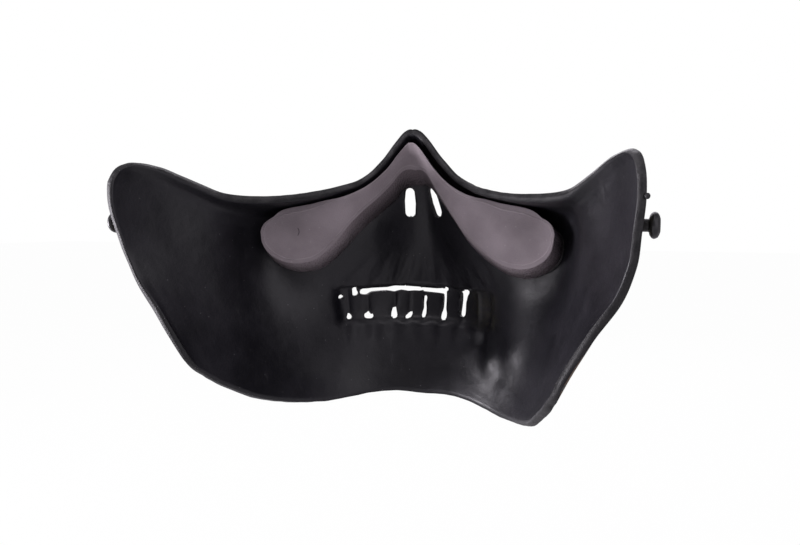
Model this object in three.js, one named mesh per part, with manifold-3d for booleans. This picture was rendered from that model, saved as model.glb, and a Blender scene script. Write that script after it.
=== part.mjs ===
// Half-face skull mask with a camouflage outside, in millimetres.
// +X is the wearer's left, -Y is the front of the mask and +Z is up.
// The origin lies on the plane of symmetry, level with the two strap studs.
import * as THREE from 'three';
import { mergeVertices } from 'three/addons/utils/BufferGeometryUtils.js';
import Module from 'manifold-3d';

const wasm = await Module();
wasm.setup();
const { Manifold, Mesh } = wasm;

// Overall sizes of the moulded shell
const shellWidth = 196;
const shellDepth = 107.5;
const shellHeight = 125.3;
const wall = 2.8;

// Gap kept between pieces that touch on the real mask
const seatGap = 0.3;

// Nose vents
const ventHeight = 13.5;
const ventWidth = 5;
const ventSpacing = 11.8;
const ventRaise = 9.4;
const ventLean = 10;

// Strap studs, seated in blind sockets in the outer face of the rear flaps
const studAngle = 84.7;
const studRaise = 0;
const studNeckDiameter = 4;
const studNeckLength = 3;
const studHeadDiameter = 8.4;
const studHeadThickness = 3.3;
const studHeadFlat = 4;
const studSocketDepth = 1.7;

// Nose pad and the adhesive film under it
const padThickness = 10.5;
const padEndAngle = 44.2;
const padTilt = 21;
const filmThickness = 0.5;
const filmInset = 1;

// The form below is drawn at these sizes, and the overall sizes above stretch it
const formWidth = 196;
const formDepth = 107.5;
const formHeight = 125.3;
const stretch = new THREE.Vector3(
  shellWidth / formWidth,
  shellDepth / formDepth,
  shellHeight / formHeight,
);

// Outer face: distance from the vertical axis, one row for each share of the height between the rims
const formShares = [0, 0.12, 0.26, 0.42, 0.58, 0.74, 0.88, 0.965, 1];
const formAngles = [-15, 0, 15, 30, 45, 60, 75, 90, 105];
const formRadii = [
  [97, 99, 97, 89.5, 79.5, 73.5, 73.5, 77.7, 83],
  [100, 102.5, 100, 93.5, 83.5, 77.2, 76.7, 82.2, 88],
  [101.5, 104.5, 101.5, 94.5, 87, 80.8, 81.5, 88.2, 95],
  [102, 107.5, 102, 94, 90.5, 85.3, 87.5, 95.3, 101.5],
  [98, 106, 98, 93, 96, 89, 91.5, 97.8, 103],
  [90, 98.5, 90, 90, 99, 91, 93.5, 97.5, 101],
  [87, 91.5, 87, 89.5, 98, 90.5, 93.5, 98, 102],
  [83.5, 86.5, 83.5, 84.5, 89.5, 87.5, 91.5, 98, 103],
  [79.5, 79.5, 79.5, 71, 71.5, 81.5, 88, 98, 104],
];

// Rims: share of the way round from the nose to the rear edge, then height
const topRim = [
  [-0.1, 28], [0, 41], [0.03, 40.2], [0.06, 36.5], [0.115, 28], [0.18, 20.5], [0.275, 16],
  [0.4, 13], [0.55, 11.3], [0.68, 12.5], [0.75, 16], [0.81, 19], [0.87, 21.9], [0.93, 23.4],
  [0.965, 22.8], [0.99, 19.8], [1, 15.5],
];
const bottomRim = [
  [-0.1, -81], [0, -81.2], [0.1, -80.8], [0.18, -81.6], [0.26, -83.2], [0.36, -84.3],
  [0.48, -82.7], [0.6, -79.3], [0.7, -75.7], [0.8, -70.7], [0.89, -65.8], [0.95, -61.5],
  [0.985, -57.5], [1, -53.5],
];
// Rear edge of each flap: height, then angle
const rearEdge = [
  [-62, 77], [-52, 80.3], [-44, 82], [-34, 83], [-24, 83.9], [-16, 84.8], [-8, 86.3], [0, 88],
  [8, 89], [16, 89], [24, 88],
];

// Nose pad: share of the way from the nose to the end of the arm, then height
const padMiddle = [
  [-0.06, 21.7], [0, 25.3], [0.06, 21.7], [0.12, 13.8], [0.2, 6], [0.31, -1.8], [0.39, -5.4],
  [0.47, -8], [0.55, -9.5], [0.7, -9.8], [1, -10],
];
const padHalfHeight = [
  [-0.06, 6.6], [0, 6.7], [0.12, 6.7], [0.2, 7.2], [0.26, 8.8], [0.39, 11.9], [0.5, 12.8],
  [0.58, 12.4], [0.71, 9.3], [0.83, 5.6], [0.93, 3], [1, 1],
];

// Gaps between the moulded teeth: middle across, middle up, width and height
const toothGaps = [
  [10, -32, 39, 2.6],
  [1.9, -40.3, 2.4, 10.6],
  [-8.2, -38.5, 2.2, 14.6],
  [-8, -44.2, 3.6, 3.4],
  [-18.4, -37.5, 3, 12.8],
  [-18.2, -32.2, 5, 2.8],
  [9.4, -44.8, 2.4, 3.2],
  [16.4, -44, 2.6, 4.6],
  [28.2, -45, 3.4, 3],
  [35.9, -44.8, 2.2, 3],
  [33, -33, 1.8, 4],
  [38.4, -35.4, 2, 2],
];

// Returns a smooth function through a few points
function smoothCurve(points) {
  const places = points.map((point) => point[0]);
  const values = points.map((point) => point[1]);
  const curve = new THREE.CubicInterpolant(places, values, 1);
  return (place) => curve.evaluate(place)[0];
}

const topHeight = smoothCurve(topRim);
const bottomHeight = smoothCurve(bottomRim);
const rearAngle = smoothCurve(rearEdge);
const padMiddleAt = smoothCurve(padMiddle);
const padHalfAt = smoothCurve(padHalfHeight);
const formSection = new THREE.CubicInterpolant(formShares, formRadii.flat(), formAngles.length);

// Distance from the axis to the outer face at a share of the height
function outerRadius(angle, share) {
  const radii = Array.from(formSection.evaluate(share));
  const around = new THREE.CubicInterpolant(formAngles, radii, 1);
  return around.evaluate(Math.abs(angle))[0];
}

// Point on the outer face, from the angle in degrees and the height in the unstretched form
function outerPoint(angle, height) {
  const side = Math.abs(angle) / rearAngle(height);
  const bottom = bottomHeight(side);
  const share = (height - bottom) / (topHeight(side) - bottom);
  const radius = outerRadius(angle, share);
  const turn = THREE.MathUtils.degToRad(angle);
  const point = new THREE.Vector3(radius * Math.sin(turn), -radius * Math.cos(turn), height);
  return point.multiply(stretch);
}

// Point below the outer face by a depth along its inward direction
function shellPoint(angle, height, depth) {
  const step = 0.3;
  const across = outerPoint(angle + step, height).sub(outerPoint(angle - step, height));
  const up = outerPoint(angle, height + step).sub(outerPoint(angle, height - step));
  const outward = across.cross(up).normalize();
  return outerPoint(angle, height).addScaledVector(outward, -depth);
}

// Turns a closed three.js geometry into a solid for the booleans
function toSolid(geometry) {
  const bare = geometry.clone();
  bare.deleteAttribute('normal');
  bare.deleteAttribute('uv');
  const merged = mergeVertices(bare, 1e-4);
  const mesh = new Mesh({
    numProp: 3,
    vertProperties: new Float32Array(merged.attributes.position.array),
    triVerts: new Uint32Array(merged.index.array),
  });
  mesh.merge();
  return new Manifold(mesh);
}

function toGeometry(solid) {
  const mesh = solid.getMesh();
  const geometry = new THREE.BufferGeometry();
  geometry.setAttribute('position', new THREE.BufferAttribute(mesh.vertProperties, 3));
  geometry.setIndex(new THREE.BufferAttribute(mesh.triVerts, 1));
  geometry.computeVertexNormals();
  return geometry;
}

// Bends a box whose sides run across, up and through a sheet
function bentSheet(columns, rows, layers, place) {
  const geometry = new THREE.BoxGeometry(2, 1, 1, columns, rows, layers);
  const position = geometry.attributes.position;
  for (let i = 0; i < position.count; i += 1) {
    const point = place(position.getX(i), position.getY(i) + 0.5, 0.5 - position.getZ(i));
    position.setXYZ(i, point.x, point.y, point.z);
  }
  return toSolid(geometry);
}

// Rows are closer together near the top rim, where the form turns in over the cheeks
function risenShare(raise) {
  return 1 - (1 - raise) ** 1.7;
}

function shellSheet() {
  return bentSheet(72, 29, 1, (side, raise, layer) => {
    const bottom = bottomHeight(Math.abs(side));
    const top = topHeight(Math.abs(side));
    const height = THREE.MathUtils.lerp(bottom, top, risenShare(raise));
    return shellPoint(side * rearAngle(height), height, layer * wall);
  });
}

// Rounded slot that cuts straight through the front of the shell
function frontSlot(across, raise, width, height, lean) {
  const radius = Math.min(width, height) / 2;
  const reachAcross = width / 2 - radius;
  const reachUp = height / 2 - radius;
  const outline = new THREE.Shape();
  outline.absarc(reachAcross, reachUp, radius, 0, Math.PI / 2);
  outline.absarc(-reachAcross, reachUp, radius, Math.PI / 2, Math.PI);
  outline.absarc(-reachAcross, -reachUp, radius, Math.PI, Math.PI * 1.5);
  outline.absarc(reachAcross, -reachUp, radius, Math.PI * 1.5, Math.PI * 2);
  const geometry = new THREE.ExtrudeGeometry(outline, {
    depth: shellDepth,
    bevelEnabled: false,
    curveSegments: 4,
  });
  geometry.rotateZ(THREE.MathUtils.degToRad(lean));
  geometry.rotateX(Math.PI / 2);
  geometry.translate(across * stretch.x, -shellDepth / 2, raise * stretch.z);
  return toSolid(geometry);
}

// Turned piece whose axis runs along X, from a profile of [radius, place along the axis]
function turnedPiece(profile, side, centre) {
  const points = profile.map(([radius, along]) => new THREE.Vector2(radius, along));
  const geometry = new THREE.LatheGeometry(points, 32);
  geometry.rotateZ(-Math.PI / 2);
  if (side < 0) {
    geometry.rotateZ(Math.PI);
  }
  geometry.translate(0, centre.y, centre.z);
  return toSolid(geometry);
}

const studCentre = outerPoint(studAngle, studRaise);

// Mushroom stud: neck that stands in its socket, and a domed head clear of the flap
function strapStud(side) {
  const neck = studNeckDiameter / 2;
  const head = studHeadDiameter / 2;
  const neckStart = studCentre.x - studSocketDepth + seatGap;
  const headStart = studCentre.x + studNeckLength;
  const headEnd = headStart + studHeadThickness;
  const profile = [
    [0, neckStart],
    [neck, neckStart],
    [neck, headStart],
    [head - 1.2, headStart + 0.2],
    [head - 0.3, headStart + 0.8],
    [head, headStart + studHeadThickness * 0.45],
    [head - 0.4, headEnd - 0.9],
    [head - 1.2, headEnd - 0.3],
    [studHeadFlat / 2, headEnd],
    [0, headEnd],
  ];
  return turnedPiece(profile, side, studCentre);
}

function studSocket(side) {
  const radius = studNeckDiameter / 2 + seatGap;
  const profile = [
    [0, studCentre.x - studSocketDepth],
    [radius, studCentre.x - studSocketDepth],
    [radius, studCentre.x + wall],
    [0, studCentre.x + wall],
  ];
  return turnedPiece(profile, side, studCentre);
}

function mouldedShell() {
  let solid = shellSheet();
  for (const side of [-1, 1]) {
    const across = (side * ventSpacing) / 2;
    solid = solid.subtract(frontSlot(across, ventRaise, ventWidth, ventHeight, side * ventLean));
    solid = solid.subtract(studSocket(side));
  }
  for (const [across, raise, width, height] of toothGaps) {
    solid = solid.subtract(frontSlot(across, raise, width, height, 0));
  }
  return solid;
}

// Spot on the shell under the pad, from the share along an arm and the share up it
function padSpot(along, raise, inset, depth) {
  const share = Math.abs(along);
  const angle = padEndAngle * Math.sin((Math.PI / 2) * along);
  const half = Math.max(padHalfAt(share) - inset, 0.4);
  const height = padMiddleAt(share) + half * (2 * raise - 1);
  return shellPoint(angle, height, depth);
}

const filmDepth = wall + seatGap;
const padDepth = filmDepth + filmThickness + seatGap;

function adhesiveFilm() {
  return bentSheet(64, 6, 1, (along, raise, layer) => (
    padSpot(along * 0.97, raise, filmInset, filmDepth + layer * filmThickness)
  ));
}

// The foam stands off the shell backwards and a little upwards, stretched as the shell is
function nosePad() {
  const tilt = THREE.MathUtils.degToRad(padTilt);
  return bentSheet(64, 8, 2, (along, raise, layer) => {
    const point = padSpot(along, raise, 0, padDepth);
    const inward = -0.1 * Math.sin((Math.PI / 2) * along);
    const lift = new THREE.Vector3(inward, Math.cos(tilt), Math.sin(tilt));
    return point.addScaledVector(lift.normalize().multiply(stretch), layer * padThickness);
  });
}

const group = new THREE.Group();

function addPiece(name, solid, color, roughness) {
  const look = new THREE.MeshStandardMaterial({ color, roughness, metalness: 0 });
  const mesh = new THREE.Mesh(toGeometry(solid), look);
  mesh.name = name;
  group.add(mesh);
}

const shellColor = 0x2a2b2e;
const foamColor = 0x6f666a;
const filmColor = 0x9a9698;
const studColor = 0x26272a;

addPiece('shell', mouldedShell(), shellColor, 0.45);
addPiece('nose_pad_foam', nosePad(), foamColor, 0.95);
addPiece('pad_adhesive_film', adhesiveFilm(), filmColor, 0.6);
addPiece('strap_stud_left', strapStud(1), studColor, 0.4);
addPiece('strap_stud_right', strapStud(-1), studColor, 0.4);

export default group;
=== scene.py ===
import math
from bisect import bisect_right

import bmesh
import bpy
from mathutils import Matrix, Vector, noise


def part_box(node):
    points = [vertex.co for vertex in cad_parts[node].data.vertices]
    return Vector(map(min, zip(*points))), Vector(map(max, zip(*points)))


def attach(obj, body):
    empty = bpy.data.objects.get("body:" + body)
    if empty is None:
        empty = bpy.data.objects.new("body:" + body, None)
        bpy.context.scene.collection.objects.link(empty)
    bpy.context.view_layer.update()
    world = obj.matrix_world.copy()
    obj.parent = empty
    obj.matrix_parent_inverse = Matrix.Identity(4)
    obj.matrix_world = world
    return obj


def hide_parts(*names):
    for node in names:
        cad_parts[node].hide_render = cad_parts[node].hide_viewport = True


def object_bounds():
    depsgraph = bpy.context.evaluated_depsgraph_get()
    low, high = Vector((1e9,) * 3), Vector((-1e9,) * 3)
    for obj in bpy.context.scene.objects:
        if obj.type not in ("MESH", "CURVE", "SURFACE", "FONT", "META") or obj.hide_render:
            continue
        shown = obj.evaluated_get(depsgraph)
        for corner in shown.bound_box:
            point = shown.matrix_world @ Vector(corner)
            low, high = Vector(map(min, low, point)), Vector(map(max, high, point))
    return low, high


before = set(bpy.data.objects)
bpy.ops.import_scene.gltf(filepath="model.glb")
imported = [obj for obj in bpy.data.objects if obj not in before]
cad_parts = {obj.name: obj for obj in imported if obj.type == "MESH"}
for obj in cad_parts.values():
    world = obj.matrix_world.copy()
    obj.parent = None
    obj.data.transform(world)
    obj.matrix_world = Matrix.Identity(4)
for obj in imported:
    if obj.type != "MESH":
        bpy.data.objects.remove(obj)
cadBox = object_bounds()
mm = 0.001  # the numbers below are in millimetres
print("frame loaded")

# The wearer's left is +X, the front of the mask is -Y and +Z is up.

view = {
    "place": (-96.71, 216.97, 1.17),
    "back": (-0.3253, 0.9427, 0.0742),  # from the mask to the camera
    "right": (-0.9453, -0.3262, 0.0040),
    "lens": 31.5,
}

shell = {
    "columns": 284,
    "rows": 122,
    "wall": 2.8,
    "edgeRound": 0.45,
    "mergeReach": 0.004,  # points nearer than this become one
    "trimWobble": 0.16,
    # more columns near the middle and the studs: share of the grid, share of the way round
    "columnPlaces": [[0, 0], [0.54, 0.32], [0.8, 0.86], [1, 1]],
    # more rows at the teeth and the vents: share of the grid, share of the height
    "rowPlaces": [[0, 0], [0.1, 0.24], [0.5, 0.54], [0.58, 0.66], [0.82, 0.82], [1, 1]],
    # distance from the vertical axis to the outer face, one row for each share of the height
    "shares": [0, 0.12, 0.26, 0.42, 0.58, 0.74, 0.88, 0.965, 1],
    "angles": [-15, 0, 15, 30, 45, 60, 75, 90, 105],
    "radii": [
        [97, 99, 97, 89.5, 79.5, 73.5, 73.5, 77.7, 83],
        [100, 102.5, 100, 93.5, 83.5, 77.2, 76.7, 82.2, 88],
        [101.5, 104.5, 101.5, 94.5, 87, 80.8, 81.5, 88.2, 95],
        [102, 107.5, 102, 94, 90.5, 85.3, 87.5, 95.3, 101.5],
        [98, 106, 98, 93, 96, 89, 91.5, 97.8, 103],
        [90, 98.5, 90, 90, 99, 91, 93.5, 97.5, 101],
        [87, 91.5, 87, 89.5, 98, 90.5, 93.5, 98, 102],
        [83.5, 86.5, 83.5, 84.5, 89.5, 87.5, 91.5, 98, 103],
        [79.5, 79.5, 79.5, 71, 71.5, 81.5, 88, 98, 104],
    ],
    # rims: share of the way round from the nose to the rear edge, height
    "topRim": [
        [-0.1, 28], [0, 41], [0.03, 40.2], [0.06, 36.5], [0.115, 28], [0.18, 20.5], [0.275, 16],
        [0.4, 13], [0.55, 11.3], [0.68, 12.5], [0.75, 16], [0.81, 19], [0.87, 21.9],
        [0.93, 23.4], [0.965, 22.8], [0.99, 19.8], [1, 15.5],
    ],
    "bottomRim": [
        [-0.1, -81], [0, -81.2], [0.1, -80.8], [0.18, -81.6], [0.26, -83.2], [0.36, -84.3],
        [0.48, -82.7], [0.6, -79.3], [0.7, -75.7], [0.8, -70.7], [0.89, -65.8], [0.95, -61.5],
        [0.985, -57.5], [1, -53.5],
    ],
    # rear edge of each flap: height, angle
    "rearEdge": [
        [-62, 77], [-52, 80.3], [-44, 82], [-34, 83], [-24, 83.9], [-16, 84.8], [-8, 86.3],
        [0, 88], [8, 89], [16, 89], [24, 88],
    ],
}

# Openings through the front, each a chain of round spots: across, up, radius
openings = {
    "vents": [
        [7.2, 5.7, 2.35, 6.7, 10.4, 2.5, 6.3, 14.8, 2.1],
        [-9.5, 5.9, 2.7, -8, 10.6, 2.7, -6.8, 15, 2.3],
    ],
    "mouth": [
        [29.4, -33.2, 1.75, 26.5, -32.4, 1.2, 20, -32, 1, 16.7, -31.8, 1.6, 13.4, -31.5, 1.1,
         10.4, -31.8, 1.25, 7.6, -31.8, 1, 4.9, -31.9, 0.95],
        [3.2, -32.1, 0.9, 0, -32.3, 0.95, -4, -32.5, 1, -6.6, -32.5, 1.25, -9.4, -31.3, 0.95],
        [-8.1, -32.6, 1.25, -8.3, -36, 0.95, -8.2, -40.5, 0.95, -8, -43.4, 1.7, -7.9, -44.7, 1.75],
        [1.8, -35.9, 0.95, 2, -38.4, 0.75, 1.8, -41, 0.85, 2.1, -43.2, 1.2, 2.3, -44.6, 1.15],
        [-20.9, -31.6, 1.3, -18.8, -33.3, 2.1, -18.2, -37, 1.65, -17.8, -42.4, 1.8],
        [-17, -32.4, 0.8, -18.4, -33.3, 1.2],
        [16.6, -41.4, 0.8, 16.6, -43.5, 1.25, 16.5, -45, 1.45],
        [8.4, -43.5, 0.8, 9.3, -44.8, 1.2, 10.3, -45.5, 1],
        [28.2, -43.3, 0.5, 28.4, -44.9, 1.5, 27.1, -45.2, 1.25],
        [36.1, -43.6, 0.4, 35.8, -45.3, 1.2],
        [33.1, -31.4, 0.95, 33, -33.4, 1.1, 32.8, -34.2, 1.3],
        [38.4, -35.4, 1.2],
    ],
}

# Moulded relief: teeth in a shallow pocket, their roots, and the hollows of the chin
relief = {
    "pocket": {"across": (-35.5, 40.5), "up": (-47.3, -29.9), "deep": 2.0, "edge": 2.4},
    "pocketWobble": 0.5,
    "toothLines": [41, 36, 28.3, 16.5, 9.4, 1.9, -8.2, -18.3, -27, -36],
    "toothDome": 0.8,
    "outerTooth": 1.7,  # the outer face is sculpted more deeply
    "rootDepth": 0.42,
    "outerRoot": 1.1,
    "rootTop": -7,
    "rootBase": -29,
    "rootFan": 0.42,  # how much the roots draw together towards the nose
    "rootSpacing": 9.6,
    "rootShift": 3.2,
    "rootFlecks": 0.35,
    "lowerRoots": 0.35,
    "noseHollow": 1.2,
    # dents: across, up, width, height, depth
    "chinDents": [[-29, -54.5, 9, 3.2, 0.45], [6, -53, 15, 3, 0.5], [-10, -62, 8, 6, -0.4]],
    # mounds of the inner face at the chin, in the same way
    "mounds": [
        [-36, -63, 5.5, 8, 2.4], [-48, -57, 5.5, 9, 2.6], [-44, -73, 6, 6, 1.4],
        [50, -62, 10, 12, 1.2],
    ],
    "waves": 0.42,
    "ripples": 0.1,
}


# A smooth curve through a few points, level with nothing beyond its ends
def smoothCurve(points):
    places = [point[0] for point in points]
    values = [point[1] for point in points]

    def evaluate(place):
        if place <= places[0]:
            return values[0]
        if place >= places[-1]:
            return values[-1]
        right = bisect_right(places, place)
        left = right - 1
        before = left - 1 if left > 0 else right
        after = right + 1 if right + 1 < len(places) else left
        span = places[right] - places[left]
        pullBefore = 0.5 * span / (places[left] - places[before])
        pullAfter = 0.5 * span / (places[after] - places[right])
        p = (place - places[left]) / span
        return (
            values[before] * pullBefore * (-p**3 + 2 * p**2 - p)
            + values[left] * ((1 + pullBefore) * p**3 - (1.5 + 2 * pullBefore) * p**2
                              + (pullBefore - 0.5) * p + 1)
            + values[right] * (-(1 + pullAfter) * p**3 + (1.5 + pullAfter) * p**2 + 0.5 * p)
            + values[after] * pullAfter * (p**3 - p**2)
        )

    return evaluate


# Straight lines through a few points
def evenCurve(points):
    def evaluate(place):
        for (left, low), (right, high) in zip(points, points[1:]):
            if place <= right:
                return low + (high - low) * (place - left) / (right - left)
        return points[-1][1]

    return evaluate


# 0 before start, 1 after end, smooth between them
def ease(value, start, end):
    share = min(1, max(0, (value - start) / (end - start)))
    return share * share * (3 - 2 * share)


topHeight = smoothCurve(shell["topRim"])
bottomHeight = smoothCurve(shell["bottomRim"])
rearAngle = smoothCurve(shell["rearEdge"])
radiusColumns = [
    smoothCurve([[share, row[i]] for share, row in zip(shell["shares"], shell["radii"])])
    for i in range(len(shell["angles"]))
]


# One smooth section round the shell, at a share of its height
def sectionAt(share):
    return smoothCurve([[angle, column(share)] for angle, column in zip(shell["angles"], radiusColumns)])


# Point on the plain outer face, from the share of the way round and the height
def outerPoint(side, height, section):
    angle = side * rearAngle(height)
    radius = section(abs(angle))
    turn = math.radians(angle)
    return Vector((radius * math.sin(turn), -radius * math.cos(turn), height))


# Distance across and up from a spot to the nearest edge of a chain of round spots, below 0 inside it
def chainDistance(across, up, chain):
    spots = [chain[i:i + 3] for i in range(0, len(chain), 3)]
    best = 1e9
    for first, second in zip(spots, spots[1:] or spots):
        dx, dz = second[0] - first[0], second[1] - first[1]
        length = dx * dx + dz * dz
        share = 0
        if length > 0:
            share = min(1, max(0, ((across - first[0]) * dx + (up - first[1]) * dz) / length))
        radius = first[2] + (second[2] - first[2]) * share
        gap = math.hypot(across - first[0] - share * dx, up - first[1] - share * dz) - radius
        best = min(best, gap)
    return best


strapStud = {
    # radius, distance along the stud from its foot
    "profile": [
        [0, 0], [2, 0], [2, 4.4], [3, 4.6], [3.9, 5.2], [4.2, 5.9], [3.8, 6.9], [3, 7.4], [2, 7.7],
        [0, 7.7],
    ],
    "headBevel": 0.25,
    "sharpAngle": 28,
    "steps": 48,
}
studBoxes = {side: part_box(node) for side, node in ((1, "strap_stud_left"), (-1, "strap_stud_right"))}
studCentres = {side: (box[0] + box[1]) / 2 / mm for side, box in studBoxes.items()}


# Distance from a point of the shell to the nearest opening's edge
def openingDistance(point):
    if abs(point.x) > 45 or point.y > -60 or not -50 < point.z < 20:
        return 9
    chains = openings["mouth"] if point.z < -20 else openings["vents"]
    return min(chainDistance(point.x, point.z, chain) for chain in chains)


# Sum of soft round bumps: across, up, width, height, depth
def bumpsAt(x, z, bumps):
    return sum(
        deep * math.exp(-((x - across) / wide) ** 2 - ((z - up) / tall) ** 2)
        for across, up, wide, tall, deep in bumps
    )


# Pocket round the teeth, with a dome for each tooth
def toothRelief(x, z, inside):
    pocket = relief["pocket"]
    edge = pocket["edge"]
    low, high = pocket["up"]
    right, left = pocket["across"]
    wobble = relief["pocketWobble"] * noise.noise(Vector((x * 0.16, z * 0.16, 4)))
    within = (
        ease(x + wobble, right - edge, right + edge)
        * (1 - ease(x + wobble, left - edge, left + edge))
        * ease(z + wobble, low - edge, low + edge)
        * (1 - ease(z + wobble, high - edge * 0.6, high + edge * 0.6))
    )
    total = within * pocket["deep"]
    for first, second in zip(relief["toothLines"], relief["toothLines"][1:]):
        if second < x <= first:
            place = 2 * (x - second) / (first - second) - 1
            height = 2 * (z - low) / (high - low) - 1
            dome = max(0, 1 - place**4) * max(0, 1 - abs(height) ** 3)
            total += within * (
                relief["toothDome"] * (dome - 0.25) if inside else relief["outerTooth"] * (dome - 0.8)
            )
    return total


# Roots that fan out from the nose above the teeth, and shallow ones below
def rootRelief(x, z, inside):
    total = 0
    spacing, shift = relief["rootSpacing"], relief["rootShift"]
    rise = (z - relief["rootBase"]) / (relief["rootTop"] - relief["rootBase"])
    if -0.15 < rise < 1:
        wander = 1.2 * noise.noise(Vector((x * 0.1, z * 0.05, 7)))
        spread = x / (1 - relief["rootFan"] * max(0, rise)) + wander
        fade = ease(rise, -0.15, 0.08) * (1 - ease(rise, 0.2, 0.85))
        fade *= ease(x, -40, -33) * (1 - ease(x, 36, 44))
        depth = relief["rootDepth"] if inside else relief["outerRoot"]
        total += depth * fade * (0.5 * math.cos(2 * math.pi * (spread + shift) / spacing))
        total += relief["rootFlecks"] * fade * noise.noise(Vector((spread * 0.45, z * 0.12, 2)))
    lower = ease(z, -60, -52) * (1 - ease(z, -49, -47.5)) * ease(x, -36, -30) * (1 - ease(x, 34, 40))
    return total + relief["lowerRoots"] * lower * math.cos(2 * math.pi * (x + shift) / spacing)


# How far the moulded relief pushes the face outwards at a spot
def reliefAt(point, inside):
    x, z = point.x, point.z
    total = 0
    if point.y < -55 and abs(x) < 60:
        total += toothRelief(x, z, inside)
        total += rootRelief(x, z, inside)
        total += bumpsAt(x, z, relief["chinDents"])
        if not inside:
            hollow = 1 - ease(math.hypot(x / 11.5, (z - 8) / 12), 0.72, 1.1)
            total -= relief["noseHollow"] * hollow
    if inside:
        total += relief["waves"] * noise.noise(point * 0.035)
        total += relief["ripples"] * noise.noise(point * 0.14)
        total -= bumpsAt(x, z, relief["mounds"])
    return total


def newPiece(name, bm, materials):
    mesh = bpy.data.meshes.new(name)
    bmesh.ops.transform(bm, matrix=Matrix.Scale(mm, 4), verts=bm.verts)
    bm.to_mesh(mesh)
    bm.free()
    mesh.polygons.foreach_set("use_smooth", [True] * len(mesh.polygons))
    piece = bpy.data.objects.new(name, mesh)
    bpy.context.scene.collection.objects.link(piece)
    for material in materials:
        mesh.materials.append(material)
    return piece


# Rounds some edges and gives back their new faces
def roundEdges(bm, edges, reach, segments):
    made = bmesh.ops.bevel(
        bm, geom=edges, offset=reach, offset_type="OFFSET", segments=segments, profile=0.5,
        affect="EDGES", clamp_overlap=True, material=-1,
    )
    return made["faces"]


# Shell: a grid bent to the form, opened, given its wall, then its edges are rounded
def makeShell(inside, outside, trimmed):
    bm = bmesh.new()
    bmesh.ops.create_grid(bm, x_segments=shell["columns"], y_segments=shell["rows"], size=1)
    columnPlace = evenCurve(shell["columnPlaces"])
    rowPlace = evenCurve(shell["rowPlaces"])
    formPlace = bm.verts.layers.float_vector.new("formPlace")
    formNormal = bm.verts.layers.float_vector.new("formNormal")
    sections = {}
    wobble = shell["trimWobble"]
    for vert in bm.verts:
        side = math.copysign(columnPlace(abs(vert.co.x)), vert.co.x)
        share = rowPlace((vert.co.y + 1) / 2)
        key = round(share, 6)
        if key not in sections:
            sections[key] = sectionAt(share)
        top = topHeight(abs(side)) + wobble * noise.noise(Vector((side * 26, 3, 0)))
        bottom = bottomHeight(abs(side)) + wobble * noise.noise(Vector((side * 26, 9, 0)))
        vert.co = outerPoint(side, bottom + (top - bottom) * share, sections[key])
    bm.normal_update()
    for vert in bm.verts:
        vert[formPlace] = vert.co
        vert[formNormal] = vert.normal
    print("shell form bent:", len(bm.verts), "points")

    openGrid(bm, openingDistance)
    for vert in bm.verts:
        vert[formPlace] = vert.co
    outer = list(bm.verts)
    rim = [edge for edge in bm.edges if edge.is_boundary]
    made = bmesh.ops.extrude_face_region(bm, geom=list(bm.faces), use_keep_orig=True)
    inner = [item for item in made["geom"] if isinstance(item, bmesh.types.BMVert)]
    innerFaces = [item for item in made["geom"] if isinstance(item, bmesh.types.BMFace)]
    for vert in outer:
        spot = vert[formPlace].copy()
        vert.co = spot + vert[formNormal] * reliefAt(spot, False)
    for vert in inner:
        spot = vert[formPlace].copy()
        vert.co = spot + vert[formNormal] * (reliefAt(spot, True) - shell["wall"])
    for face in innerFaces:
        face.material_index = 1
    innerSet = set(inner)
    sides = [face for face in bm.faces if 0 < sum(vert in innerSet for vert in face.verts) < 4]
    for face in sides:
        face.material_index = 2
    bmesh.ops.recalc_face_normals(bm, faces=bm.faces)
    sideSet = set(sides)
    corners = [edge for edge in bm.edges if sum(face in sideSet for face in edge.link_faces) == 1]
    for face in roundEdges(bm, corners, shell["edgeRound"], 2):
        face.material_index = 2
    bmesh.ops.remove_doubles(bm, verts=bm.verts, dist=shell["mergeReach"])
    bmesh.ops.dissolve_degenerate(bm, edges=bm.edges, dist=shell["mergeReach"])
    addTrimPip(bm)
    piece = newPiece("mouldedShell", bm, [outside, inside, trimmed])
    print("shell made:", len(rim), "edges at its rims")
    return piece


opener = {
    "reach": 0.62,  # share of an edge's length that a point may be drawn over
    "step": 0.05,
    "leastSlope": 0.3,
}


# Opens a grid where a distance is below 0, with its points drawn to the edge of the opening
def openGrid(bm, distance):
    gaps = {vert: distance(vert.co) for vert in bm.verts}
    for vert in list(bm.verts):
        gap = gaps[vert]
        reach = max(edge.calc_length() for edge in vert.link_edges)
        if abs(gap) > reach * opener["reach"] or vert.is_boundary:
            continue
        step = opener["step"]
        slope = Vector()
        for axis in range(3):
            moved = vert.co.copy()
            moved[axis] += step
            slope[axis] = (distance(moved) - gap) / step
        slope -= vert.normal * slope.dot(vert.normal)
        if slope.length > opener["leastSlope"]:
            vert.co -= slope * (gap / slope.length_squared)
            gaps[vert] = 0
    doomed = [face for face in bm.faces if sum(gaps[vert] for vert in face.verts) < -1e-6]
    bmesh.ops.delete(bm, geom=doomed, context="FACES")
    loose = [vert for vert in bm.verts if not vert.link_faces]
    bmesh.ops.delete(bm, geom=loose, context="VERTS")


# Small moulding pip left on the right flap's rear edge
def addTrimPip(bm):
    pip = {"radius": 1, "place": (-97.9, -1.2, 8.6), "scale": (0.85, 0.75, 0.95)}
    made = bmesh.ops.create_icosphere(bm, subdivisions=3, radius=pip["radius"])
    bmesh.ops.scale(bm, vec=pip["scale"], verts=made["verts"])
    bmesh.ops.translate(bm, vec=pip["place"], verts=made["verts"])
    for vert in made["verts"]:
        for face in vert.link_faces:
            face.material_index = 2


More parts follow.
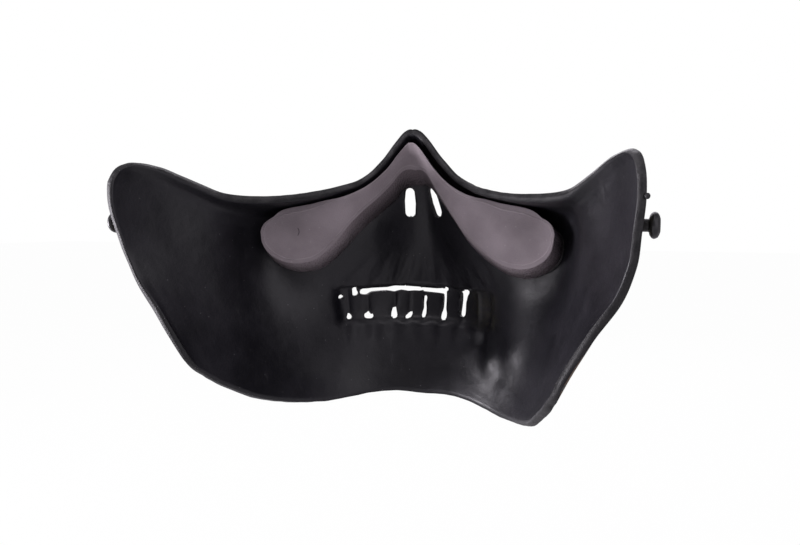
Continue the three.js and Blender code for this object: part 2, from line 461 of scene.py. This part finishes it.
nosePad = {
    "columns": 170,
    "rows": 26,
    "endAngle": 44.4,
    "thick": 10.5,
    # how many degrees the cut sides lean up: everywhere, at the lower edge, at the arch, on the left arm
    "tilt": 21,
    "lowerTilt": 6,
    "archTilt": 15,
    "leftTilt": 9,
    # how far the sides lean towards the nose, and how much more at the ends
    "lean": 0.1,
    "endLean": 0.15,
    "rightLift": 1.2,  # extra height of the upper edge on the right arm
    # how far the lower edge is cut up into each arm: side, height, where it starts and ends
    "cuts": {1: (3.8, 0.4, 0.68), -1: (3.6, 0.2, 0.42)},
    "clear": 1.1,  # from the shell to the foam, with the film between them
    "round": 0.55,
    "crown": 0.7,
    "endStart": 0.76,  # where the round end of an arm starts
    # share of the arm from the nose to its end: middle height, half height
    "middle": [
        [-0.09, 22.4], [0, 25.9], [0.09, 22.4], [0.19, 14.2], [0.31, 6.4], [0.47, -1.6],
        [0.58, -5.3], [0.67, -7.9], [0.76, -9.3], [0.89, -9.8], [1, -10],
    ],
    "half": [
        [-0.09, 7.1], [0, 7.4], [0.09, 7.1], [0.19, 7.1], [0.31, 7.6], [0.4, 9], [0.58, 11.9],
        [0.71, 12.9], [0.82, 13], [1, 12.8],
    ],
}
padMiddle = smoothCurve(nosePad["middle"])
padHalf = smoothCurve(nosePad["half"])


# How much the lower edge is cut up at a share of an arm
def padCut(place):
    height, start, end = nosePad["cuts"][1 if place > 0 else -1]
    return height * ease(abs(place), -0.01, 0.15) * (1 - ease(abs(place), start, end))


# How far a share of an arm is into the arm's round end, from 0 to just under 1
def padEnd(share):
    return max(0, (share - nosePad["endStart"]) / (1.004 - nosePad["endStart"]))


# Rough distance from the edge of the face
def padEdgeGap(along, raised):
    share = abs(math.sin(math.pi / 2 * along))
    past = padEnd(share)
    rise = 2 * raised - 1
    return (1 - math.sqrt(past * past + rise * rise * (1 - past * past))) * padHalf(share)


# Spot under the pad, at a depth below the plain outer face
def padSpot(along, raised, reach, depth):
    place = math.sin(math.pi / 2 * along)
    share = abs(place)
    half = (padHalf(share) + reach) * math.sqrt(1 - padEnd(share) ** 2)
    height = padMiddle(share) + half * (2 * raised - 1) + padCut(place) * (1 - raised)
    if place < 0:
        height += nosePad["rightLift"] * raised * ease(share, 0, 0.1) * (1 - ease(share, 0.25, 0.45))
    return shellPoint(nosePad["endAngle"] * place, height, depth)


# Point on the plain outer face, from the angle round the vertical axis and the height
def formPoint(angle, height):
    side = abs(angle) / rearAngle(height)
    bottom = bottomHeight(side)
    share = (height - bottom) / (topHeight(side) - bottom)
    return outerPoint(math.copysign(side, angle), height, sectionAt(share))


# The same, moved in at right angles to the face
def shellPoint(angle, height, depth):
    step = 0.3
    across = formPoint(angle + step, height) - formPoint(angle - step, height)
    up = formPoint(angle, height + step) - formPoint(angle, height - step)
    return formPoint(angle, height) - across.cross(up).normalized() * depth


# Foam pad: a grid laid on the shell, lifted into a block, with soft edges and a slightly full face
def makeNosePad(face, cut):
    bm = bmesh.new()
    bmesh.ops.create_grid(bm, x_segments=nosePad["columns"], y_segments=nosePad["rows"], size=1)
    lift = bm.verts.layers.float_vector.new("lift")
    edgeGap = bm.verts.layers.float.new("edgeGap")
    for vert in bm.verts:
        along, raised = vert.co.x, (vert.co.y + 1) / 2
        vert.co = padSpot(along, raised, 0, shell["wall"] + nosePad["clear"])
        vert[edgeGap] = padEdgeGap(along, raised)
        place = math.sin(math.pi / 2 * along)
        inward = -place * (nosePad["lean"] + nosePad["endLean"] * ease(abs(along), 0.55, 0.95))
        arch = 1 - ease(abs(along), 0.02, 0.2)
        extra = (1 - raised) * (nosePad["lowerTilt"] + nosePad["archTilt"] * arch)
        if place > 0:
            extra += (1 - raised) * nosePad["leftTilt"] * padCut(place) / nosePad["cuts"][1][0]
        tilt = math.radians(nosePad["tilt"] + extra)
        full = (1 - (2 * raised - 1) ** 4) * (1 - abs(along) ** 8)
        way = Vector((inward, math.cos(tilt), math.sin(tilt))).normalized()
        vert[lift] = way * (nosePad["thick"] + nosePad["crown"] * (full - 1))
    made = bmesh.ops.extrude_face_region(bm, geom=list(bm.faces), use_keep_orig=True)
    raisedVerts = [item for item in made["geom"] if isinstance(item, bmesh.types.BMVert)]
    raisedSet = set(raisedVerts)
    for vert in raisedVerts:
        vert.co = vert.co + vert[lift]
    sides = [side for side in bm.faces if 0 < sum(vert in raisedSet for vert in side.verts) < 4]
    for side in sides:
        side.material_index = 1
    bmesh.ops.recalc_face_normals(bm, faces=bm.faces)
    sideSet = set(sides)
    corners = [edge for edge in bm.edges if sum(f in sideSet for f in edge.link_faces) == 1]
    upper = [edge for edge in corners if all(vert in raisedSet for vert in edge.verts)]
    roundEdges(bm, upper, nosePad["round"], 4)
    return newPiece("nosePadFoam", bm, [face, cut])


adhesiveFilm = {"columns": 140, "rows": 10, "thick": 0.5, "clear": 0.3, "reach": 0.15}


# Film of adhesive that shows as a thin line round the foam
def makeFilm(finish):
    bm = bmesh.new()
    bmesh.ops.create_grid(bm, x_segments=adhesiveFilm["columns"], y_segments=adhesiveFilm["rows"], size=1)
    depth = shell["wall"] + adhesiveFilm["clear"]
    raised = bm.verts.layers.float_vector.new("raised")
    for vert in bm.verts:
        along, share = vert.co.x, (vert.co.y + 1) / 2
        base = padSpot(along, share, adhesiveFilm["reach"], depth)
        vert[raised] = padSpot(along, share, adhesiveFilm["reach"], depth + adhesiveFilm["thick"])
        vert.co = base
    made = bmesh.ops.extrude_face_region(bm, geom=list(bm.faces), use_keep_orig=True)
    for item in made["geom"]:
        if isinstance(item, bmesh.types.BMVert):
            item.co = item[raised]
    bmesh.ops.recalc_face_normals(bm, faces=bm.faces)
    return newPiece("padAdhesiveFilm", bm, [finish])


# Stud: a profile turned round the X axis, between the faces of its CAD piece
def makeStud(side, name, finish):
    low, high = (corner / mm for corner in studBoxes[side])
    start = min(abs(low.x), abs(high.x))
    length = high.x - low.x
    drawn = strapStud["profile"][-1][1]
    bm = bmesh.new()
    verts = [
        bm.verts.new((start + along * length / drawn, 0, radius))
        for radius, along in strapStud["profile"]
    ]
    edges = [bm.edges.new(pair) for pair in zip(verts, verts[1:])]
    bmesh.ops.spin(
        bm, geom=verts + edges, cent=(0, 0, 0), axis=(1, 0, 0), angle=2 * math.pi,
        steps=strapStud["steps"], use_merge=True,
    )
    bmesh.ops.remove_doubles(bm, verts=bm.verts, dist=1e-4)
    bmesh.ops.recalc_face_normals(bm, faces=bm.faces)
    sharpAngle = math.radians(strapStud["sharpAngle"])
    sharp = [edge for edge in bm.edges if edge.is_manifold and edge.calc_face_angle() > sharpAngle]
    roundEdges(bm, sharp, strapStud["headBevel"], 3)
    if side < 0:
        bmesh.ops.scale(bm, vec=(-1, 1, 1), verts=bm.verts)
        bmesh.ops.reverse_faces(bm, faces=bm.faces)
    centre = studCentres[side]
    bmesh.ops.translate(bm, vec=(0, centre.y, centre.z), verts=bm.verts)
    bmesh.ops.recalc_face_normals(bm, faces=bm.faces)
    return newPiece(name, bm, [finish])


# A socket in an expression: operators add Math nodes
class Wire:
    def __init__(self, nodes, socket):
        self.nodes = nodes
        self.socket = socket

    def math(self, operation, left, right=0.0):
        return self.nodes.add("ShaderNodeMath", {"operation": operation}, {0: left, 1: right})

    def __add__(self, other):
        return self.math("ADD", self, other)

    def __sub__(self, other):
        return self.math("SUBTRACT", self, other)

    def __rsub__(self, other):
        return self.math("SUBTRACT", other, self)

    def __mul__(self, other):
        return self.math("MULTIPLY", self, other)

    __radd__ = __add__
    __rmul__ = __mul__


# The nodes of a finish or of the surroundings
class Nodes:
    def __init__(self, tree):
        self.tree = tree

    # Adds a node: its settings first, then the values or links of its sockets
    def add(self, kind, settings, inputs, output=0):
        node = self.tree.nodes.new(kind)
        for name, value in settings.items():
            setattr(node, name, value)
        for name, value in inputs.items():
            self.feed(node.inputs[name], value)
        return Wire(self, node.outputs[output])

    def feed(self, socket, value):
        if isinstance(value, Wire):
            self.tree.links.new(value.socket, socket)
        else:
            socket.default_value = value


class Finish(Nodes):
    def __init__(self, name):
        self.material = bpy.data.materials.new(name)
        self.material.use_nodes = True
        super().__init__(self.material.node_tree)
        self.shader = self.tree.nodes["Principled BSDF"]
        self.place = self.add("ShaderNodeTexCoord", {}, {}, "Object")

    # The place along one axis, in metres
    def along(self, axis):
        return self.add("ShaderNodeSeparateXYZ", {}, {"Vector": self.place}, axis)

    # Noise on the piece, its grains about this many millimetres across
    def grain(self, size, detail=3.0, stretch=(1, 1, 1), rough=0.55, shift=(0, 0, 0)):
        scale = tuple(1 / (size * mm) * share for share in stretch)
        moved = self.add("ShaderNodeMapping", {}, {
            "Vector": self.place, "Location": shift, "Scale": scale})
        return self.add("ShaderNodeTexNoise", {}, {
            "Vector": moved, "Scale": 1.0, "Detail": detail, "Roughness": rough})

    # Distance from the middle of the nearest of many small cells
    def cells(self, size):
        scale = (1 / (size * mm),) * 3
        moved = self.add("ShaderNodeMapping", {}, {"Vector": self.place, "Scale": scale})
        return self.add("ShaderNodeTexVoronoi", {"feature": "F1"}, {
            "Vector": moved, "Scale": 1.0}, "Distance")

    # 0 below low, 1 above high
    def between(self, value, low, high):
        return self.add("ShaderNodeMapRange", {"interpolation_type": "SMOOTHSTEP"}, {
            "Value": value, "From Min": low, "From Max": high})

    def blend(self, share, first, second):
        return self.add("ShaderNodeMix", {"data_type": "RGBA"}, {0: share, 6: first, 7: second}, 2)

    def bump(self, height, depth, strength=1.0, under=None):
        inputs = {"Height": height, "Distance": depth * mm, "Strength": strength}
        if under is not None:
            inputs["Normal"] = under
        return self.add("ShaderNodeBump", {}, inputs)

    def set(self, **values):
        for name, value in values.items():
            self.feed(self.shader.inputs[name.replace("_", " ")], value)


def tone(red, green, blue):
    return (red, green, blue, 1.0)


# Black moulded plastic: the inside of the shell
def mouldedPlastic():
    f = Finish("mouldedPlastic")
    broad = f.grain(26, 2)
    fine = f.grain(3.2, 4)
    pitting = f.grain(0.55, 2)
    scuffs = f.between(f.grain(5, 5, (1, 1, 0.25), 0.7), 0.6, 0.75)
    dust = f.between(f.cells(5), 0.06, 0.035)
    base = f.blend(f.between(broad, 0.35, 0.65), tone(0.004, 0.0038, 0.0054), tone(0.0072, 0.0067, 0.0092))
    base = f.blend(scuffs * 0.35, base, tone(0.032, 0.031, 0.034))
    olive = oversprayOf(f) * f.between(fine, 0.35, 0.6)
    base = f.blend(olive * 0.22, base, tone(0.055, 0.05, 0.028))
    base = f.blend(dust * 0.25, base, tone(0.2, 0.2, 0.2))
    height = fine * 0.6 + pitting * 0.4
    f.set(
        Base_Color=base,
        Roughness=f.between(broad, 0.2, 0.8) * 0.14 + fine * 0.12 + scuffs * 0.1 + 0.3,
        Normal=f.bump(height, 0.15, 0.75, f.bump(f.grain(8, 3), 0.7, 0.35)),
        Specular_IOR_Level=0.32,
    )
    return f.material


# Where paint from the front has crept round the teeth
def oversprayOf(f):
    x, z = f.along(0), f.along(2)
    across = f.between(x, -0.040, -0.034) * (1 - f.between(x, -0.028, -0.019))
    up = f.between(z, -0.050, -0.044) * (1 - f.between(z, -0.033, -0.029))
    return across * up


# Trimmed edge of the shell, paler where it has been cut, with painted light making the upper rims paler still
def trimmedPlastic():
    f = Finish("trimmedPlastic")
    broad = f.grain(9, 3)
    fine = f.grain(0.7, 4)
    worn = f.between(broad + fine * 0.5, 0.55, 0.95)
    # painted light: the trim is painted paler towards the top, as if lit from above
    upper = f.between(f.along(2), -0.02, 0.022)
    paleCutWithTopLight = f.blend(upper, tone(0.013, 0.0125, 0.0132), tone(0.03, 0.029, 0.03))
    f.set(
        Base_Color=f.blend(worn, tone(0.0036, 0.0035, 0.0043), paleCutWithTopLight),
        Roughness=fine * 0.25 + 0.42,
        Normal=f.bump(fine, 0.22, 0.8),
        Specular_IOR_Level=0.25,
    )
    return f.material


# Matt camouflage paint on the outside, with black plastic showing through where it is rubbed
def camouflagePaint():
    f = Finish("camouflagePaint")
    patchA = f.between(f.grain(24, 2.5, (1, 1, 1.5)), 0.5, 0.515)
    second = f.grain(1000 / 46, 2.5, (1, 1, 68 / 46), 0.5, (0.31, 0.17, 0.05))
    third = f.grain(1000 / 60, 3, (1, 1, 80 / 60), 0.5, (0.72, 0.4, 0.9))
    patchB = f.between(second, 0.53, 0.545)
    patchC = f.between(third, 0.59, 0.605)
    mist = f.grain(0.8, 4)
    base = f.blend(patchA, tone(0.155, 0.128, 0.07), tone(0.052, 0.062, 0.026))
    base = f.blend(patchB, base, tone(0.066, 0.038, 0.02))
    base = f.blend(patchC, base, tone(0.012, 0.012, 0.011))
    base = f.blend(mist * 0.3, base, tone(0.05, 0.046, 0.032))
    rubbed = f.between(f.grain(1.8, 6, rough=0.75), 0.66, 0.72)
    base = f.blend(rubbed, base, tone(0.012, 0.012, 0.013))
    f.set(
        Base_Color=base,
        Roughness=mist * 0.2 + 0.58 - rubbed * 0.18,
        Normal=f.bump(mist * 0.5 - rubbed * 0.4, 0.12, 0.7, f.bump(f.grain(6, 3), 0.5, 0.4)),
    )
    return f.material


# Small crescent nick in the left lobe of the foam, with painted shade darkening the inside of the cut
def nickAndShadeOf(f):
    middle = (0.0499, -0.0632, -0.0040)
    gap = f.add("ShaderNodeVectorMath", {"operation": "DISTANCE"}, {0: f.place, 1: middle}, "Value")
    ring = f.between(gap, 0.0019, 0.0021) * (1 - f.between(gap, 0.0023, 0.0025))
    return ring * (1 - f.between(f.along(0), 0.0481, 0.0486))


# Skinned face of the foam
def foamSkin():
    f = Finish("foamSkin")
    pores = f.cells(0.62)
    fine = f.grain(0.5, 3)
    cloud = f.grain(11, 4)
    base = f.blend(f.between(cloud, 0.3, 0.7), tone(0.168, 0.144, 0.154), tone(0.205, 0.177, 0.189))
    base = f.blend(f.between(pores, 0.35, 0.1) * 0.22, base, tone(0.09, 0.075, 0.082))
    gap = f.add("ShaderNodeAttribute", {"attribute_name": "edgeGap"}, {}, "Fac") + (cloud - 0.5) * 1.1
    # a raised line just inside the face's edge, with a painted highlight lightening it
    ridgeAndPaintedHighlight = f.between(gap, 1.35, 1.7) * (1 - f.between(gap, 1.75, 2.15))
    base = f.blend(ridgeAndPaintedHighlight * f.between(cloud, 0.32, 0.5) * 0.75, base, tone(0.25, 0.22, 0.232))
    dust = f.between(f.cells(3.1), 0.09, 0.05)
    base = f.blend(dust * 0.45, base, tone(0.34, 0.31, 0.32))
    nickAndShade = nickAndShadeOf(f)
    # painted shade: the nick is darkened as the shadow inside the cut
    base = f.blend(nickAndShade * 0.75, base, tone(0.03, 0.024, 0.027))
    grain = f.bump(pores * 0.7 + fine * 0.5, 0.14, 0.55, f.bump(cloud, 0.5, 0.3))
    f.set(
        Base_Color=base,
        Roughness=fine * 0.1 + 0.84,
        Normal=f.bump(ridgeAndPaintedHighlight - nickAndShade, 0.3, 0.6, grain),
        Specular_IOR_Level=0.3,
    )
    return f.material


# Open cut side of the foam, darker and coarser, with painted shade on its upper part under the arch
def foamCut():
    f = Finish("foamCut")
    pores = f.cells(0.8)
    fine = f.grain(0.6, 4)
    streaks = f.grain(2.4, 3, (1, 0.35, 1))
    base = f.blend(f.between(pores, 0.55, 0.1), tone(0.2, 0.168, 0.181), tone(0.11, 0.09, 0.098))
    base = f.blend(streaks * 0.3, base, tone(0.22, 0.19, 0.202))
    # painted shade: the upper cut sides, at the arch under the nose, are darkened
    shaded = f.between(f.along(2), -0.01, 0.006)
    base = f.blend(shaded * 0.92, base, tone(0.1, 0.082, 0.089))
    f.set(
        Base_Color=base,
        Roughness=fine * 0.08 + 0.9,
        Normal=f.bump(pores + fine * 0.4, 0.3, 0.8),
        Specular_IOR_Level=0.2,
    )
    return f.material


def filmGlue():
    f = Finish("filmGlue")
    cloud = f.grain(3, 4)
    f.set(
        Base_Color=f.blend(cloud, tone(0.02, 0.017, 0.018), tone(0.05, 0.045, 0.046)),
        Roughness=cloud * 0.3 + 0.3,
        Normal=f.bump(cloud, 0.2, 0.5),
    )
    return f.material


def studPlastic():
    f = Finish("studPlastic")
    fine = f.grain(0.5, 3)
    broad = f.grain(3, 3)
    f.set(
        Base_Color=f.blend(f.between(broad, 0.4, 0.7), tone(0.006, 0.006, 0.007), tone(0.014, 0.0135, 0.014)),
        Roughness=broad * 0.2 + fine * 0.1 + 0.27,
        Normal=f.bump(fine, 0.08, 0.5, f.bump(broad, 0.3, 0.3)),
        Specular_IOR_Level=0.35,
    )
    return f.material


shellPiece = makeShell(mouldedPlastic(), camouflagePaint(), trimmedPlastic())
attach(shellPiece, "root")
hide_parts("shell")

padPiece = makeNosePad(foamSkin(), foamCut())
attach(padPiece, "root")
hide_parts("nose_pad_foam")
print("nose pad made")

filmPiece = makeFilm(filmGlue())
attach(filmPiece, "root")
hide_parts("pad_adhesive_film")

studFinish = studPlastic()
for side, name, node in ((1, "strapStudLeft", "strap_stud_left"), (-1, "strapStudRight", "strap_stud_right")):
    stud = makeStud(side, name, studFinish)
    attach(stud, "root")
    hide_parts(node)
print("studs made")

studio = {
    "floorDrop": 0.16,
    "floorReach": 6.0,
    "worldGlow": 0.3,
    "glowColour": (0.97, 0.93, 1, 1),
    "lampColour": (0.97, 0.93, 1),
    # name, place from the middle of the mask, size, watts
    "lights": [
        ["sideLeft", (0.8, 0.27, 0.0), 0.6, 4],
        ["lowLeft", (0.75, 0.25, -0.15), 0.3, 13],
        ["sideRight", (-0.8, 0.5, 0.3), 1.2, 6.5],
        ["above", (0.15, 0.5, 0.95), 0.8, 6],
        ["front", (0.1, -0.9, 0.6), 0.9, 8],
    ],
}


def makeStudio():
    bm = bmesh.new()
    bmesh.ops.create_grid(bm, x_segments=1, y_segments=1, size=studio["floorReach"] / mm)
    bmesh.ops.translate(bm, vec=(0, 0, cadBox[0].z / mm - studio["floorDrop"] / mm), verts=bm.verts)
    f = Finish("paleFloor")
    cloud = f.grain(300, 2)
    f.set(Base_Color=f.blend(cloud, tone(0.6, 0.6, 0.6), tone(0.64, 0.64, 0.64)), Roughness=0.9)
    glowing = f.add("ShaderNodeEmission", {}, {"Color": tone(1, 1, 1), "Strength": 1.0})
    seenShare = f.add("ShaderNodeLightPath", {}, {}, "Is Camera Ray") * 0.98
    mixed = f.add("ShaderNodeMixShader", {}, {0: seenShare, 1: Wire(f, f.shader.outputs[0]), 2: glowing})
    f.feed(f.tree.nodes["Material Output"].inputs["Surface"], mixed)
    floor = newPiece("floor", bm, [f.material])
    world = bpy.data.worlds.new("studioWorld")
    bpy.context.scene.world = world
    world.use_nodes = True
    around = Nodes(world.node_tree)
    seen = around.add("ShaderNodeBackground", {}, {"Color": tone(1, 1, 1)})
    glow = around.add("ShaderNodeBackground", {}, {
        "Color": studio["glowColour"], "Strength": studio["worldGlow"]})
    path = around.add("ShaderNodeLightPath", {}, {}, "Is Camera Ray")
    mixed = around.add("ShaderNodeMixShader", {}, {0: path, 1: glow, 2: seen})
    around.feed(world.node_tree.nodes["World Output"].inputs["Surface"], mixed)
    middle = (cadBox[0] + cadBox[1]) / 2
    for name, place, size, watts in studio["lights"]:
        lamp = bpy.data.lights.new(name, "AREA")
        lamp.shape = "SQUARE"
        lamp.size = size
        lamp.energy = watts
        lamp.color = studio["lampColour"]
        light = bpy.data.objects.new(name, lamp)
        light.location = middle + Vector(place)
        light.rotation_euler = Vector(place).to_track_quat("Z", "Y").to_euler()
        bpy.context.scene.collection.objects.link(light)


def makeCamera():
    lensBody = bpy.data.cameras.new("viewCamera")
    lensBody.lens = view["lens"]
    lensBody.sensor_width = 36
    lensBody.clip_start = 0.01
    lensBody.clip_end = 50
    camera = bpy.data.objects.new("viewCamera", lensBody)
    back = Vector(view["back"]).normalized()
    right = Vector(view["right"])
    right = (right - back * right.dot(back)).normalized()
    up = back.cross(right)
    turn = Matrix((right, up, back)).transposed().to_4x4()
    camera.matrix_world = Matrix.Translation(Vector(view["place"]) * mm) @ turn
    bpy.context.scene.collection.objects.link(camera)
    bpy.context.scene.camera = camera


makeStudio()
makeCamera()
bpy.context.scene.view_settings.view_transform = "Standard"
print("studio made")

bpy.context.view_layer.update()
